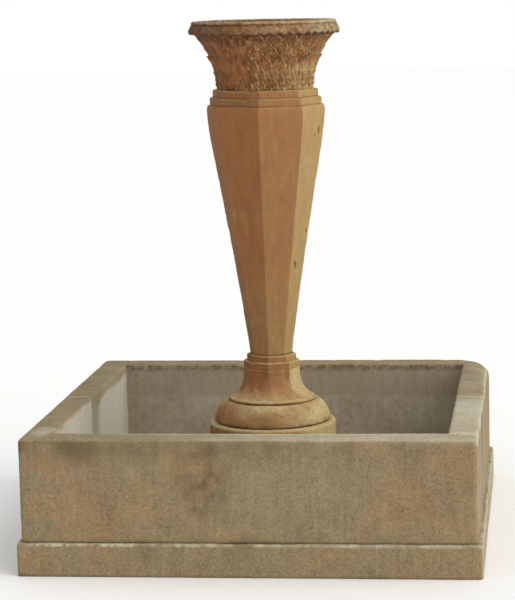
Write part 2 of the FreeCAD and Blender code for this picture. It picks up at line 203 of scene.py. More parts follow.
def plug(tree, socket, value):
    """Link another node's output to the socket, or set its plain value."""
    if isinstance(value, bpy.types.NodeSocket):
        tree.links.new(value, socket)
    else:
        socket.default_value = value


def add_node(tree, kind, settings=(), **values):
    """Shader node with its settings and inputs; i0, i1 and so on are inputs by number."""
    node = tree.nodes.new("ShaderNode" + kind)
    for key, value in dict(settings).items():
        setattr(node, key, value)
    for key, value in values.items():
        numbered = key[0] == "i" and key[1:].isdigit()
        plug(tree, node.inputs[int(key[1:]) if numbered else key.replace("_", " ")], value)
    return node


def math_node(tree, operation, a, b=0.0, c=0.0, clamp=False):
    node = add_node(tree, "Math", {"operation": operation, "use_clamp": clamp}, i0=a, i1=b, i2=c)
    return node.outputs[0]


def blend_color(tree, amount, under, over):
    node = add_node(tree, "Mix", {"data_type": "RGBA"}, i0=amount, i6=under, i7=over)
    return node.outputs[2]


def sandy_stone_group():
    """Cast stone: a sandy body with bleaching, rust, grime and lime, and with painted light and shade.

    Tone's red says how much bleaching and painted light make the surface paler, green
    how rusty it is, and blue how much grime and painted shade make it darker; Lime
    says where a smooth skin of lime covers the grain. Noise breaks up the edges of
    those areas."""
    group = bpy.data.node_groups.new("sandy_stone", "ShaderNodeTree")
    face = group.interface
    for name in ("Body", "Bleached", "Rusty", "Grimy", "Limed", "Tone"):
        face.new_socket(name, in_out="INPUT", socket_type="NodeSocketColor")
    for name, value in (("Grain Size", 0.0024), ("Grain Contrast", 1.0), ("Pit Amount", 0.06),
                        ("Mottle", 0.5), ("Streaks", 0.3), ("Raggedness", 1.0), ("Lime", 0.0)):
        face.new_socket(name, in_out="INPUT", socket_type="NodeSocketFloat").default_value = value
    face.new_socket("Color", in_out="OUTPUT", socket_type="NodeSocketColor")
    face.new_socket("Roughness", in_out="OUTPUT", socket_type="NodeSocketFloat")
    face.new_socket("Height", in_out="OUTPUT", socket_type="NodeSocketFloat")
    given = group.nodes.new("NodeGroupInput").outputs
    result = group.nodes.new("NodeGroupOutput").inputs
    place = add_node(group, "TexCoord").outputs["Object"]
    upright = add_node(group, "VectorMath", {"operation": "MULTIPLY"}, i0=place, i1=(1, 1, 0.09)).outputs[0]
    per_metre = math_node(group, "DIVIDE", 1.0, given["Grain Size"])

    def noise(where, scale, detail, roughness):
        """Noise from about -0.5 to 0.5."""
        node = add_node(group, "TexNoise", Vector=where, Scale=scale, Detail=detail, Roughness=roughness)
        return math_node(group, "SUBTRACT", node.outputs[0], 0.5)

    cloud = noise(place, 8.0, 5.0, 0.62)
    blotch = noise(place, 42.0, 4.0, 0.65)
    streak = noise(upright, 75.0, 3.0, 0.6)
    grain = noise(place, per_metre, 2.0, 0.7)
    speck = noise(place, math_node(group, "MULTIPLY", per_metre, 0.42), 2.0, 0.75)
    holes = add_node(group, "TexVoronoi", Vector=place, Scale=math_node(group, "MULTIPLY", per_metre, 0.36))
    chosen = add_node(group, "SeparateColor", Color=holes.outputs["Color"]).outputs[0]
    few = math_node(group, "LESS_THAN", chosen, given["Pit Amount"])
    hollow = math_node(group, "SUBTRACT", 0.34, holes.outputs["Distance"], clamp=True)
    hollow = math_node(group, "MULTIPLY", hollow, 3.4, clamp=True)
    pit = math_node(group, "MULTIPLY", hollow, few)

    ragged = math_node(group, "MULTIPLY_ADD", cloud, 1.3, math_node(group, "MULTIPLY", blotch, 0.9))
    ragged = math_node(group, "MULTIPLY", ragged, given["Raggedness"])
    tone = add_node(group, "SeparateColor", Color=given["Tone"])

    def area(channel, sign):
        """Mask of one channel of the tone, with ragged edges."""
        spread = math_node(group, "MULTIPLY_ADD", ragged, sign, channel)
        soft = add_node(group, "MapRange", {"interpolation_type": "SMOOTHSTEP"}, Value=spread,
                        From_Min=0.0, From_Max=1.0)
        gate = math_node(group, "MULTIPLY", channel, 5.0, clamp=True)
        return math_node(group, "MULTIPLY", soft.outputs[0], gate)

    color = blend_color(group, area(tone.outputs[1], 0.9), given["Body"], given["Rusty"])
    color = blend_color(group, area(tone.outputs[0], -0.8), color, given["Bleached"])
    lime = area(given["Lime"], 0.35)
    color = blend_color(group, lime, color, given["Limed"])
    color = blend_color(group, area(tone.outputs[2], 0.7), color, given["Grimy"])
    shade = math_node(group, "MULTIPLY", math_node(group, "ADD", cloud, blotch), given["Mottle"])
    shade = math_node(group, "MULTIPLY_ADD", streak, given["Streaks"], shade)
    bare = math_node(group, "MULTIPLY_ADD", lime, -0.6, 1.0)
    shade = math_node(group, "MULTIPLY", shade, bare)
    sand = math_node(group, "MULTIPLY_ADD", speck, 0.75, grain)
    sand = math_node(group, "MULTIPLY", sand, bare)
    shade = math_node(group, "MULTIPLY_ADD", sand, given["Grain Contrast"], shade)
    shade = math_node(group, "MULTIPLY_ADD", pit, -0.35, shade)
    shade = math_node(group, "MAXIMUM", math_node(group, "ADD", shade, 1.0), 0.15)
    bright = add_node(group, "VectorMath", {"operation": "SCALE"}, i0=color, Scale=shade)
    group.links.new(bright.outputs[0], result["Color"])
    group.links.new(math_node(group, "MULTIPLY_ADD", grain, 0.2, 0.86), result["Roughness"])
    height = math_node(group, "MULTIPLY_ADD", blotch, 0.5, math_node(group, "MULTIPLY", sand, 0.5))
    height = math_node(group, "MULTIPLY_ADD", pit, -0.8, height)
    group.links.new(height, result["Height"])
    return group


sandy_stone = sandy_stone_group()


def stone_material(name, **finish):
    """A cast stone finish: its own five colours and its own grain."""
    material = bpy.data.materials.new(name)
    material.use_nodes = True
    tree = material.node_tree
    shader = tree.nodes["Principled BSDF"]
    stone = tree.nodes.new("ShaderNodeGroup")
    stone.node_tree = sandy_stone
    for key, value in finish.items():
        socket = stone.inputs[key.replace("_", " ")]
        socket.default_value = (*value, 1) if isinstance(value, tuple) else value
    tone = add_node(tree, "Attribute", {"attribute_name": "tone"})
    tree.links.new(tone.outputs["Color"], stone.inputs["Tone"])
    tree.links.new(tone.outputs["Alpha"], stone.inputs["Lime"])
    tree.links.new(stone.outputs["Color"], shader.inputs["Base Color"])
    tree.links.new(stone.outputs["Roughness"], shader.inputs["Roughness"])
    relief = add_node(tree, "Bump", Height=stone.outputs["Height"], Strength=0.5, Distance=0.0012)
    tree.links.new(relief.outputs[0], shader.inputs["Normal"])
    shader.inputs["Specular IOR Level"].default_value = 0.25
    return material


pool_stone = stone_material(
    "pool_stone", Body=(0.262, 0.207, 0.116), Bleached=(0.50, 0.455, 0.325), Rusty=(0.290, 0.195, 0.104),
    Grimy=(0.13, 0.084, 0.040), Limed=(0.518, 0.492, 0.408), Grain_Size=0.0025, Grain_Contrast=1.2,
    Mottle=0.5, Streaks=0.45, Raggedness=0.7, Pit_Amount=0.11)


def edge_arc(cx, cz, radius, start, end, count):
    """Points of a rounded edge in a cross-section."""
    return [(cx + radius * cos(a), cz + radius * sin(a)) for a in np.linspace(start, end, count)]


def run(a, b, step):
    """Evenly spaced points from a to b, without the last."""
    a, b = np.array(a, float), np.array(b, float)
    count = max(1, int(round(np.linalg.norm(b - a) / step)))
    return [tuple(a + (b - a) * k / count) for k in range(count)]


def wall_profile(thick, low, high, rounds, step):
    """Closed cross-section of a wall: (distance out from the inner face, height).

    Rounds holds the rounding of the inner, the outer and the foot edge."""
    r, o, f = rounds
    points = run((0, low), (0, high - r), step)
    points += edge_arc(r, high - r, r, pi, pi / 2, 5)
    points += run((r, high), (thick - o, high), step)[1:]
    points += edge_arc(thick - o, high - o, o, pi / 2, 0, 7)
    points += run((thick, high - o), (thick, low + f), step)[1:]
    points += edge_arc(thick - f, low + f, f, 0, -pi / 2, 4)
    points += run((thick - f, low), (0, low), step * 2)[1:]
    return np.array(points)


def u_sweep(profile, inside, corner_in, corner_out, facing, step, gap):
    """Points of the profile carried round half a square ring, one row per station.

    Also gives each row's distance from the joint halfway along the sides."""
    off, height = profile.T
    reach = inside + off
    bend = corner_in + (corner_out - corner_in) * off / off.max()
    straight = reach - bend
    close_to_joint = [0, 0.0012, 0.003, 0.006]
    side = np.array(close_to_joint + list(np.arange(0.012, inside, step)[:-1]) + [inside])
    front = np.arange(-inside, inside + step / 2, 2 * inside / round(2 * inside / step))
    turns = np.linspace(0, pi / 2, 9)[1:-1]
    stations = [(-reach, gap + (straight - gap) * (t / inside)) for t in side]
    stations += [(-straight - bend * cos(a), straight + bend * sin(a)) for a in turns]
    stations += [(straight * (t / inside), reach) for t in front]
    stations += [(straight + bend * sin(a), straight + bend * cos(a)) for a in turns]
    stations += [(reach, gap + (straight - gap) * (t / inside)) for t in side[::-1]]
    points = np.array([np.stack([x, y * facing, height], axis=1) for x, y in stations])
    joint = np.r_[side, np.full(2 * len(turns) + len(front), inside), side[::-1]]
    return points, joint


def wear_arris(points, start, end, reach, push):
    """Round an arris off along a line, more and more from its start to its end."""
    start, along = np.array(start), np.array(end) - np.array(start)
    t = np.clip((points - start) @ along / (along @ along), 0, 1)
    away = np.linalg.norm(points - start - np.outer(t, along), axis=1)
    return points + np.outer(t * np.clip(1 - away / reach, 0, 1) ** 2, np.array(push))


pool_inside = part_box("basin_floor")[1].x
grid_step, inner_corner, joint_gap = 0.007, 0.006, 0.0001


def ring_piece(name, facing, rounds, outer_corner, seed, paint, worn=()):
    """Half ring of cast stone, filling the CAD node's box."""
    low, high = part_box(name)
    profile = wall_profile(high.x - pool_inside, low.z, high.z, rounds, grid_step)
    rows, joint = u_sweep(profile, pool_inside, inner_corner, outer_corner, facing, grid_step, joint_gap)
    count, around = rows.shape[:2]
    points, quads = ring_skin(rows)
    normal = skin_normals(points, quads)
    from_joint = np.repeat(joint, around)
    off, height = (np.tile(profile[:, k], count) for k in range(2))
    edge = np.minimum(np.minimum(off, profile[:, 0].max() - off) + (high.z - height), 0.05)
    near_edge = 1 - smooth(edge, 0.004, 0.03)
    sink = 0.0009 * rough(points, 0.23, seed) + 0.0006 * rough(points, 0.07, seed + 1)
    sink += 0.00035 * rough(points, 0.022, seed + 2)
    bite = smooth(rough(points, 0.035, seed + 3), 0.35, 0.9)
    bite += 0.8 * smooth(rough(points, 0.016, seed + 4), 0.4, 0.9)
    sink -= 0.0017 * near_edge * bite
    sink -= 0.0030 * (1 - smooth(from_joint, 0.0, 0.005))
    points = points + normal * sink[:, None]
    for start, end, reach, push in worn:
        points = wear_arris(points, start, end, reach, push)
    tone = paint(points, normal, near_edge, from_joint, low, high)
    make_piece(name, points, capped(quads, around), tone, pool_stone, "basin_stone", name)


def stain(points, middle, reach, seed):
    """1 in the middle of a ragged oval, given as (x, y, z) and its reach each way, 0 outside it."""
    away = np.linalg.norm((points - np.array(middle)) / np.array(reach), axis=1)
    return 1 - smooth(away + 0.35 * rough(points, 0.035, seed), 0.35, 1.15)


front_stains = [  # how rusty, middle, reach each way, seed
    (0.70, (-0.535, -0.61, 0.300), (0.07, 0.05, 0.04), 26),
    (0.50, (-0.440, -0.61, 0.190), (0.22, 0.05, 0.09), 27),
    (0.55, (0.420, -0.61, 0.200), (0.14, 0.05, 0.08), 28),
    (0.90, (0.565, -0.61, 0.300), (0.06, 0.05, 0.07), 29),
    (0.55, (-0.100, -0.61, 0.270), (0.10, 0.05, 0.07), 56),
    (-0.60, (0.130, -0.61, 0.220), (0.24, 0.05, 0.15), 57)]


def wall_tone(points, normal, near_edge, from_joint, low, high):
    """How much bleaching, rust, grime and lime each place on the pool wall has, and where painted light
    makes it paler.
    """
    x, y, z = points.T
    top = smooth(normal[:, 2], 0.35, 0.8)
    inner = (np.maximum(abs(x), abs(y)) < pool_inside + 0.004) * (1 - top)
    outer = (1 - inner) * (1 - top)
    left_inner = inner * smooth(normal[:, 0], 0.5, 0.9)
    right_outer = outer * smooth(normal[:, 0], 0.5, 0.9)
    front_rim = top * smooth(-y, pool_inside - 0.02, pool_inside)
    right_rim = top * smooth(x, pool_inside - 0.02, pool_inside) * (1 - front_rim)
    patchy = rough(points, 0.28, 21) * 0.5 + rough(points, 0.10, 22) * 0.35
    across = rough(points * np.array([0.25, 1, 1]), 0.022, 24) * 0.5 + 0.5

    # Painted light: the left wall's inner face and the right wall's outer face, turned to the light, are
    # painted paler, on top of their bleaching.
    bleach_and_light = 0.30 * left_inner + 0.22 * right_outer
    bleach_and_light += front_rim * (0.02 + 0.58 * smooth(x, -0.5, 0.25))
    bleach_and_light += right_rim * (0.14 + 0.46 * smooth(0.03 * rough(points, 0.04, 37) - y, -0.05, 0.06))
    inner_arris = smooth(y, -pool_inside - 0.020, -pool_inside - 0.006)
    bleach_and_light += 0.85 * front_rim * inner_arris * smooth(x, -0.5, -0.2)
    bleach_and_light -= 0.15 * right_outer * smooth(y, -0.1, 0.1)
    # Worn edges are paler; on the right wall's outer face, turned to the light, they also carry a painted
    # highlight.
    bleach_and_light += 0.30 * near_edge * outer * smooth(x, -0.3, 0.5) + 0.55 * near_edge * right_outer
    bleach_and_light += 0.30 * top * (1 - front_rim) * (across - 0.3)
    bleach_and_light += 0.95 * top * (1 - smooth(from_joint, 0.006, 0.020)) * (y < 0)
    bleach_and_light += 0.12 * rough(points, 0.05, 25)

    rusty = outer * (0.36 + 0.5 * patchy) + 0.60 * inner * (1 - left_inner) + 0.25 * top * (y > 0)
    rusty += outer * sum(weight * stain(points, *oval) for weight, *oval in front_stains)
    rusty += 0.5 * right_rim * stain(points, (0.57, 0.01, 0.372), (0.05, 0.035, 0.03), 38)

    grime_and_shade = 0.24 * smooth(rough(points, 0.09, 23), 0.1, 0.8) * (1 - inner)
    under_rim = smooth(z, 0.27, 0.35) * (0.75 + 0.7 * rough(points, 0.04, 30))
    grime_and_shade += outer * (0.50 - 0.28 * smooth(x, -0.4, 0.4)) * under_rim
    brown_spot = stain(points, (-0.105, -0.61, 0.235), (0.090, 0.05, 0.115), 34)
    grime_and_shade += outer * brown_spot * (0.42 + 0.35 * rough(points, 0.016, 54))
    waterline = smooth(z, 0.346, 0.356) * (0.30 + 0.35 * rough(points, 0.006, 35))
    waterline += 0.22 * smooth(z, 0.262, 0.275)
    grime_and_shade += inner * (1 - left_inner) * waterline
    grime_and_shade += 0.45 * right_outer * np.exp(-((y + 0.24 + 0.02 * rough(points, 0.15, 40)) / 0.07) ** 2)
    grime_and_shade += 0.5 * (1 - smooth(z, low.z, low.z + 0.010))
    grime_and_shade += 0.9 * (1 - top) * (1 - smooth(from_joint, 0.0, 0.005))

    # Lime over the inside; the left wall's inner face, turned to the light, is painted paler still, part
    # lime and part painted light.
    limed = inner * (0.50 + 0.14 * patchy) + 0.50 * left_inner
    drips = stretched(points, 1, 0.2, 0.014, 58)
    stripe = smooth(y, 0.0, 0.006) * (1 - smooth(y, 0.06 + 0.03 * drips, 0.15))
    limed -= left_inner * (0.50 + 0.35 * smooth(z, 0.2, 0.36)) * stripe
    brown_top = z + 0.008 * rough(points, 0.05, 59) + 0.022 * smooth(y, 0, 0.1)
    limed -= 0.9 * left_inner * smooth(brown_top, 0.352, 0.374)
    limed += 0.40 * top * stain(points, (-0.565, -0.50, 0.372), (0.04, 0.10, 0.03), 60)
    limed += 0.5 * right_rim * stain(points, (0.57, -0.16, 0.372), (0.06, 0.13, 0.03), 39)
    return np.stack([bleach_and_light, rusty, grime_and_shade, limed], axis=1)


worn_corner = [  # at the back right: start, end, reach, push
    ((0.61, 0.05, 0.372), (0.61, 0.60, 0.372), 0.060, (-0.013, 0, -0.019)),
    ((0.52, 0.61, 0.372), (0.60, 0.61, 0.372), 0.055, (-0.002, -0.010, -0.014))]
wall_rounds, wall_corner = (0.007, 0.012, 0.002), 0.014
ring_piece("basin_front_half", -1, wall_rounds, wall_corner, 3, wall_tone)
ring_piece("basin_back_half", 1, wall_rounds, wall_corner, 5, wall_tone, worn_corner)


def plinth_tone(points, normal, near_edge, from_joint, low, high):
    """How much bleaching, rust and grime each place on the plinth course has, and where painted light makes
    it paler.
    """
    patchy = rough(points, 0.20, 31) * 0.5 + rough(points, 0.07, 32) * 0.4
    top = smooth(normal[:, 2], 0.35, 0.8)
    right = smooth(normal[:, 0], 0.5, 0.9)
    arris = smooth(points[:, 2], high.z - 0.009, high.z - 0.003)
    chips = (1 - 0.75 * smooth(points[:, 0], -0.05, 0.15)) * rough(points, 0.008, 36)
    # Painted light: faces turned right, towards the light, and the tops are painted paler; the upper arris
    # is pale with wear and chips.
    bleach_and_light = arris * (0.50 + 0.7 * chips + 0.4 * rough(points, 0.04, 55)) + 0.05 * top + 0.4 * right
    rusty = (0.40 + 0.8 * patchy) * (1 - top)
    grime_and_shade = 0.3 * smooth(rough(points, 0.12, 33), 0.1, 0.8) + 0.5 * (1 - smooth(points[:, 2], 0, 0.012))
    grime_and_shade += 0.9 * (1 - top) * (1 - smooth(from_joint, 0.0, 0.005))
    return np.stack([bleach_and_light, rusty, grime_and_shade], axis=1)


plinth_rounds, plinth_corner = (0.003, 0.0045, 0.003), 0.011
ring_piece("plinth_front_half", -1, plinth_rounds, plinth_corner, 7, plinth_tone)
ring_piece("plinth_back_half", 1, plinth_rounds, plinth_corner, 9, plinth_tone)

# ---------------------------------------------------------------------------
# The floor of the pool: one slab of the same stone, laid inside the plinth
# course. It is dry, with lime over it, and it turns darker along the walls.


def border(rows, cols):
    """Numbers of the points round the edge of a grid, in order."""
    first_row = list(range(cols))
    last_col = [k * cols + cols - 1 for k in range(1, rows)]
    last_row = [(rows - 1) * cols + k for k in range(cols - 2, -1, -1)]
    first_col = [k * cols for k in range(rows - 2, 0, -1)]
    return first_row + last_col + last_row + first_col


def closed_below(top, rows, cols, under, outward):
    """Points and faces of a grid facing outward, a skirt from its border to under, and a flat face."""
    quads = grid_quads(rows, cols)
    if skin_normals(top, quads).sum(axis=0) @ np.array(outward) < 0:
        quads = quads[:, ::-1]
    loop = border(rows, cols)
    ring = np.arange(len(top), len(top) + len(loop))
    skirt = np.stack([loop, np.roll(loop, -1), np.roll(ring, -1), ring], axis=1)
    if runs_along(quads, loop[0], loop[1]):
        skirt, ring = skirt[:, ::-1], ring[::-1]
    return np.vstack([top, under]), quads.tolist() + skirt.tolist() + [ring.tolist()]


low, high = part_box("basin_floor")
across = 107
lines = np.linspace(low.x, high.x, across)
slab_x, slab_y = np.meshgrid(lines, lines, indexing="ij")
slab_top = np.stack([slab_x.ravel(), slab_y.ravel(), np.full(slab_x.size, high.z)], axis=1)
slab_top[:, 2] += 0.0006 * rough(slab_top, 0.2, 41) + 0.0004 * rough(slab_top, 0.05, 42)
slab_foot = slab_top[border(across, across)] * [1, 1, 0] + [0, 0, low.z]
points, faces = closed_below(slab_top, across, across, slab_foot, (0, 0, 1))
from_wall = pool_inside - np.maximum(abs(points[:, 0]), abs(points[:, 1]))
# Darker along the foot of the walls.
near_walls = 1 - smooth(from_wall, 0.0, 0.12)
floor_tone = np.stack([0.3 + 0.3 * rough(points, 0.2, 43), 0.3 + 0.2 * rough(points, 0.3, 44),
                       0.05 + 0.5 * near_walls, 0.55 + 0.2 * rough(points, 0.15, 45)], axis=1)
make_piece("basin_floor", points, faces, floor_tone, pool_stone, "basin_stone", "basin_floor")

# ---------------------------------------------------------------------------
# The foot of the column: a round drum standing on the pool floor, and on it
# the torus, thin fillet and flared bell of the base, turned in a warmer,
# yellower stone. The bell starts octagonal under the collar and turns round.
foot_stone = stone_material(
    "foot_stone", Body=(0.315, 0.168, 0.068), Bleached=(0.49, 0.378, 0.182), Rusty=(0.265, 0.105, 0.036),
    Grimy=(0.12, 0.062, 0.028), Limed=(0.47, 0.43, 0.33), Grain_Size=0.0024, Grain_Contrast=1.1,
    Mottle=0.65, Streaks=0.6, Raggedness=0.8)
hub = 0.02  # radius of the flat faces that close each turned piece


def resample(outline, step):
    """Outline of (radius, height) points with no gap longer than step."""
    dense = [tuple(outline[0])]
    for a, b in zip(outline, outline[1:]):
        span = np.hypot(b[0] - a[0], b[1] - a[1])
        count = max(1, int(np.ceil(span / step)))
        dense += [(a[0] + (b[0] - a[0]) * k / count, a[1] + (b[1] - a[1]) * k / count)
                  for k in range(1, count + 1)]
    return np.array(dense)


def column_tone(points, normal):
    """Right and upward faces are paler with bleaching and painted light; left faces are rustier,
    and faces turned far left and down are darker with painted shade, among blotches of grime.
    """
    side = np.clip(normal[:, 0], -1, 1)
    streaky = stretched(points, 1, 0.12, 0.018, 51) * 0.10 + stretched(points, 1, 0.3, 0.07, 52) * 0.12
    # Painted light: faces turned right, towards the light, and faces turned up are painted paler, on top of
    # the bleaching.
    bleach_and_light = 0.05 + 0.85 * smooth(side, 0.42, 0.85) + 0.25 * smooth(normal[:, 2], 0.3, 0.9) + streaky
    rusty = 0.30 + 0.45 * smooth(-side, 0.0, 0.35) - streaky
    # Painted shade: faces turned far left, away from the light, and faces turned down are painted darker;
    # the blotches are grime.
    grime_and_shade = 0.05 + 0.22 * smooth(-side, 0.6, 0.9) + 0.15 * smooth(rough(points, 0.06, 53), 0.3, 0.9)
    grime_and_shade += 0.5 * smooth(-normal[:, 2], 0.3, 0.9)
    return np.stack([bleach_and_light, rusty, grime_and_shade], axis=1)


def weathered(points, quads, seed, wear=None, amount=1.0):
    """Points pushed in and out as worn stone is, with chips where wear is 1, and their normals."""
    normal = skin_normals(points, quads)
    sink = 0.0007 * rough(points, 0.11, seed) + 0.0004 * rough(points, 0.035, seed + 1)
    sink += 0.00022 * rough(points, 0.012, seed + 2)
    if wear is not None:
        bite = smooth(rough(points, 0.03, seed + 3), 0.3, 0.85)
        bite += 0.6 * smooth(rough(points, 0.012, seed + 4), 0.4, 0.9)
        sink -= 0.0022 * wear * bite
    return points + normal * (sink * amount)[:, None], normal


def turned_rows(outline, around):
    """Rings of an outline of (radius, height) points turned about the Z axis."""
    turn = np.arange(around) * 2 * pi / around
    return np.stack([outline[:, :1] * np.cos(turn), outline[:, :1] * np.sin(turn),
                     np.repeat(outline[:, 1:], around, axis=1)], axis=-1)


def worn_solid(rows, seed, wear=None):
    """Points, faces and normals of a weathered solid of stacked rings; wear is given ring by ring."""
    around = rows.shape[1]
    points, quads = ring_skin(rows)
    worn = None if wear is None else np.repeat(wear, around)
    points, normal = weathered(points, quads, seed, worn)
    return points, capped(quads, around), normal


low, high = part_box("column_drum")
radius, rounding = high.x, 0.008
outline = [(hub, low.z), (radius - 0.003, low.z), (radius, low.z + 0.003), (radius, high.z - rounding)]
outline += edge_arc(radius - rounding, high.z - rounding, rounding, 0, pi / 2, 6)[1:] + [(hub, high.z)]
outline = resample(outline, 0.006)
wear = smooth(outline[:, 1], high.z - 0.014, high.z - 0.002)
wear *= smooth(outline[:, 0], radius - 0.02, radius - 0.006)
points, faces, normal = worn_solid(turned_rows(outline, 180), 61, wear)
tone = column_tone(points, normal)
tone[:, 0] += 0.08 + 0.4 * smooth(points[:, 2], high.z - 0.012, high.z - 0.003)
tone[:, 1] -= 0.2
tone[:, 2] += 0.55 * (1 - smooth(points[:, 2], 0.07, 0.19))
make_piece("column_drum", points, faces, tone, foot_stone, "foot_stone", "column_drum")

low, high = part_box("base_torus")
radius, top_radius = high.x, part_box("base_fillet")[1].x + 0.003
rise, draw = high.z - low.z, radius - top_radius
swell = (rise * rise + draw * draw) / (2 * draw)
arc_end = pi / 2 - atan2(swell - draw, rise)
outline = [(hub, low.z + 0.001), (radius - 0.004, low.z + 0.001), (radius - 0.001, low.z + 0.004)]
outline += edge_arc(radius - swell, low.z, swell, 0.09, arc_end, 26) + [(hub, high.z)]
outline = resample(outline, 0.004)
wear = 1 - smooth(outline[:, 1], low.z + 0.004, low.z + 0.016)
points, faces, normal = worn_solid(turned_rows(outline, 180), 65, wear)
tone = column_tone(points, normal)
patches = smooth(rough(points, 0.05, 66), -0.2, 0.6)
tone[:, 0] += 0.14 + 0.36 * patches * (1 - smooth(-points[:, 0], 0.02, 0.14))
tone[:, 1] -= 0.30
tone[:, 2] += 0.30 * smooth(rough(points, 0.008, 64), 0.25, 0.8)
# Painted shade: the torus is painted darker along its lower edge, where it curves under onto the drum.
tone[:, 2] += 0.25 * (1 - smooth(points[:, 2], low.z + 0.004, low.z + 0.02))
limed = 0.50 * stain(points, (0.13, -0.10, 0.316), (0.06, 0.06, 0.018), 67)
limed *= 0.3 + 1.2 * rough(points, 0.009, 68)
tone = np.column_stack([tone, limed])
make_piece("base_torus", points, faces, tone, foot_stone, "foot_stone", "base_torus")

low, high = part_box("base_fillet")
radius = high.x
outline = resample([(hub, low.z), (radius - 0.004, low.z), (radius - 0.004, low.z + 0.0015),
                    (radius - 0.001, low.z + 0.003), (radius, low.z + 0.005), (radius - 0.0015, high.z),
                    (hub, high.z)], 0.002)
points, faces, normal = worn_solid(turned_rows(outline, 180), 69, outline[:, 0] > radius - 0.006)
tone = column_tone(points, normal)
make_piece("base_fillet", points, faces, tone, foot_stone, "foot_stone", "base_fillet")

face_points, corner_points = 14, 5  # on each side and each rounded corner of an octagon
octagon_points = 8 * (face_points + corner_points)


def octagon_ring(corner_radius, rounding):
    """Points of an octagon with its corners on the axes and rounded."""
    core = corner_radius - rounding / cos(pi / 8)
    ring = []
    for k in range(8):
        middle = k * pi / 4
        corner = np.array([core * cos(middle), core * sin(middle)])
        after = np.array([core * cos(middle + pi / 4), core * sin(middle + pi / 4)])
        for a in np.linspace(middle - pi / 8, middle + pi / 8, corner_points):
            ring.append(corner + rounding * np.array([cos(a), sin(a)]))
        face = np.array([cos(middle + pi / 8), sin(middle + pi / 8)]) * rounding
        for t in np.linspace(0, 1, face_points + 2)[1:-1]:
            ring.append(corner + (after - corner) * t + face)
    return np.array(ring)


def octagonal_rows(outline, rounding, roundness=None):
    """Stacked octagons; roundness turns a ring from octagon (0) to circle (1)."""
    rows = []
    for k, (radius, height) in enumerate(outline):
        ring = octagon_ring(radius, min(rounding, radius * 0.4))
        if roundness is not None:
            circle = ring / np.linalg.norm(ring, axis=1, keepdims=True) * radius * 0.985
            ring = ring * (1 - roundness[k]) + circle * roundness[k]
        rows.append(np.column_stack([ring, np.full(len(ring), height)]))
    return np.array(rows)


low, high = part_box("base_bell")
top_radius, foot_radius, hollow_rise = 0.083, high.x, 0.067
hollow_run = foot_radius - top_radius
hollow = (hollow_rise ** 2 + hollow_run ** 2) / (2 * hollow_run)
steep = atan2(hollow_rise, hollow - hollow_run)
outline = [(hub, low.z), (foot_radius - 0.004, low.z)]
outline += [(top_radius + hollow - hollow * cos(a), low.z + hollow_rise - hollow * sin(a))
            for a in np.linspace(steep, 0, 22)]
outline += [(top_radius - 0.0005, high.z), (hub, high.z)]
outline = resample(outline, 0.004)
turning_round = 1 - smooth(outline[:, 1], low.z + 0.042, high.z + 0.004)
turning_round[outline[:, 1] > high.z - 0.001] = 0
points, faces, normal = worn_solid(octagonal_rows(outline, 0.004, turning_round), 71)
tone = column_tone(points, normal)
runs = stretched(points, 1, 0.15, 0.011, 72)
up = points[:, 2] - low.z
tone[:, 0] += 0.20 * (1 - smooth(up, 0, 0.03)) + 0.16 * runs - 0.16 * smooth(points[:, 0], 0.03, 0.09)
tone[:, 0] += 0.35 * (1 - smooth(up, 0.002, 0.005))
tone[:, 1] += 0.2 * smooth(up, 0.02, high.z - low.z) - 0.15 * runs - 0.35 * (1 - smooth(up, 0.01, 0.05))
make_piece("base_bell", points, faces, tone, foot_stone, "foot_stone", "base_bell")

# ---------------------------------------------------------------------------
# Two collars under the shaft and two steps over it: octagonal plates with
# softened arrises, cast in one with the shaft, in the same warm sandstone mix.
shaft_stone = stone_material(
    "shaft_stone", Body=(0.325, 0.160, 0.064), Bleached=(0.372, 0.250, 0.098), Rusty=(0.280, 0.112, 0.038),
    Grimy=(0.145, 0.078, 0.034), Limed=(0.47, 0.43, 0.33), Grain_Size=0.0022, Grain_Contrast=0.6,
    Mottle=0.3, Streaks=0.45, Raggedness=0.4)


def plate(name, rounding, seed):
    """Octagonal plate with a rounded upper arris, pale with wear and a painted highlight, filling the CAD
    node's box.
    """
    low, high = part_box(name)
    radius = high.x
    outline = [(hub, low.z), (radius - 0.0007, low.z), (radius - 0.0002, low.z + 0.0002),
               (radius, low.z + 0.0008)]
    outline += edge_arc(radius - rounding, high.z - rounding, rounding, 0, pi / 2, 7) + [(hub, high.z)]
    outline = resample(outline, 0.0035)
    arris = smooth(outline[:, 1], high.z - 0.0045, high.z - 0.0012) * (outline[:, 0] > radius - 0.009)
    points, faces, normal = worn_solid(octagonal_rows(outline, 0.003), seed, arris)
    tone = column_tone(points, normal)
    strata = stretched(points, 0.4, 3, 0.013, seed + 6)
    # Painted highlight and wear: the upper arris, turned up to the light, is painted much paler.
    tone[:, 0] += (1.10 + 0.7 * rough(points, 0.025, seed + 5)) * np.repeat(arris, octagon_points)
    tone[:, 0] += 0.30 * strata
    # Painted shade: the plate's left side, away from the light, is painted darker, broken up by the strata.
    tone[:, 2] += 0.10 + (0.10 - 0.45 * strata) * smooth(-points[:, 0], -0.05, 0.05)
    make_piece(name, points, faces, tone, shaft_stone, "shaft_stone", name)


plate("lower_collar", 0.006, 73)
plate("upper_collar", 0.006, 77)
plate("lower_neck_step", 0.007, 79)
plate("upper_neck_step", 0.006, 83)

